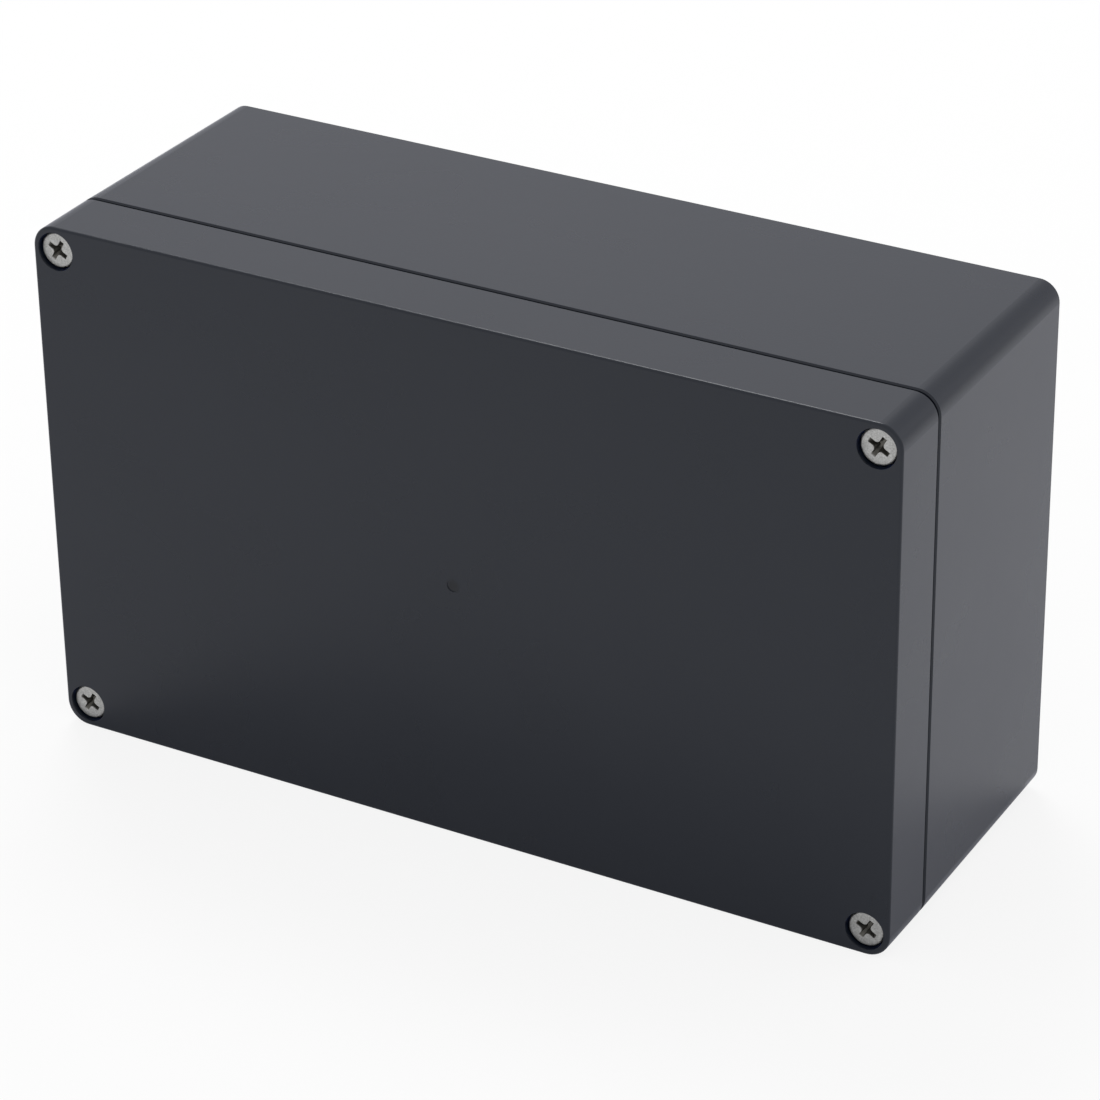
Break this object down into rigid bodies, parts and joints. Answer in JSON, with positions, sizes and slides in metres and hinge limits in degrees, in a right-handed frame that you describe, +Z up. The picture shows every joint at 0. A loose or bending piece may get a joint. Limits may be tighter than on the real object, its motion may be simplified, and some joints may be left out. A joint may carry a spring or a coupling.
{
  "type": "plastic project box",
  "caption": "Rectangular moulded plastic enclosure: deep base, screwed lid, gasket in the joint, corner wells for wall screws.",
  "frame": {"origin": "centre of the box's footprint on the surface that it stands on, with the box on one long side", "axes": "+X along the 200 mm length, -Y out of the lid's face, +Y out of the back wall, +Z up along the 120 mm width"},
  "size_m": [0.2, 0.075, 0.12],
  "materials": {
    "housing_plastic": "fine matt moulded grain, anthracite grey",
    "screw_steel": "satin nickel-plated steel",
    "insert_brass": "turned brass",
    "gasket_rubber": "soft black foam rubber"
  },
  "bodies": {
    "base": {"base": "housing_plastic", "insert_1": "insert_brass", "insert_2": "insert_brass", "insert_3": "insert_brass", "insert_4": "insert_brass"},
    "lid": {"lid": "housing_plastic", "gasket": "gasket_rubber"},
    "screw_1": {"screw_1": "screw_steel"},
    "screw_2": {"screw_2": "screw_steel"},
    "screw_3": {"screw_3": "screw_steel"},
    "screw_4": {"screw_4": "screw_steel"}
  },
  "joints": [
    {"name": "lid_lift", "type": "slide", "parent": "base", "child": "lid", "axis": [0, -1, 0], "range_m": [0, 0.07]},
    {"name": "screw_1_out", "type": "slide", "parent": "lid", "child": "screw_1", "axis": [0, -1, 0], "range_m": [0, 0.024]},
    {"name": "screw_2_out", "type": "slide", "parent": "lid", "child": "screw_2", "axis": [0, -1, 0], "range_m": [0, 0.024]},
    {"name": "screw_3_out", "type": "slide", "parent": "lid", "child": "screw_3", "axis": [0, -1, 0], "range_m": [0, 0.024]},
    {"name": "screw_4_out", "type": "slide", "parent": "lid", "child": "screw_4", "axis": [0, -1, 0], "range_m": [0, 0.024]}
  ]
}
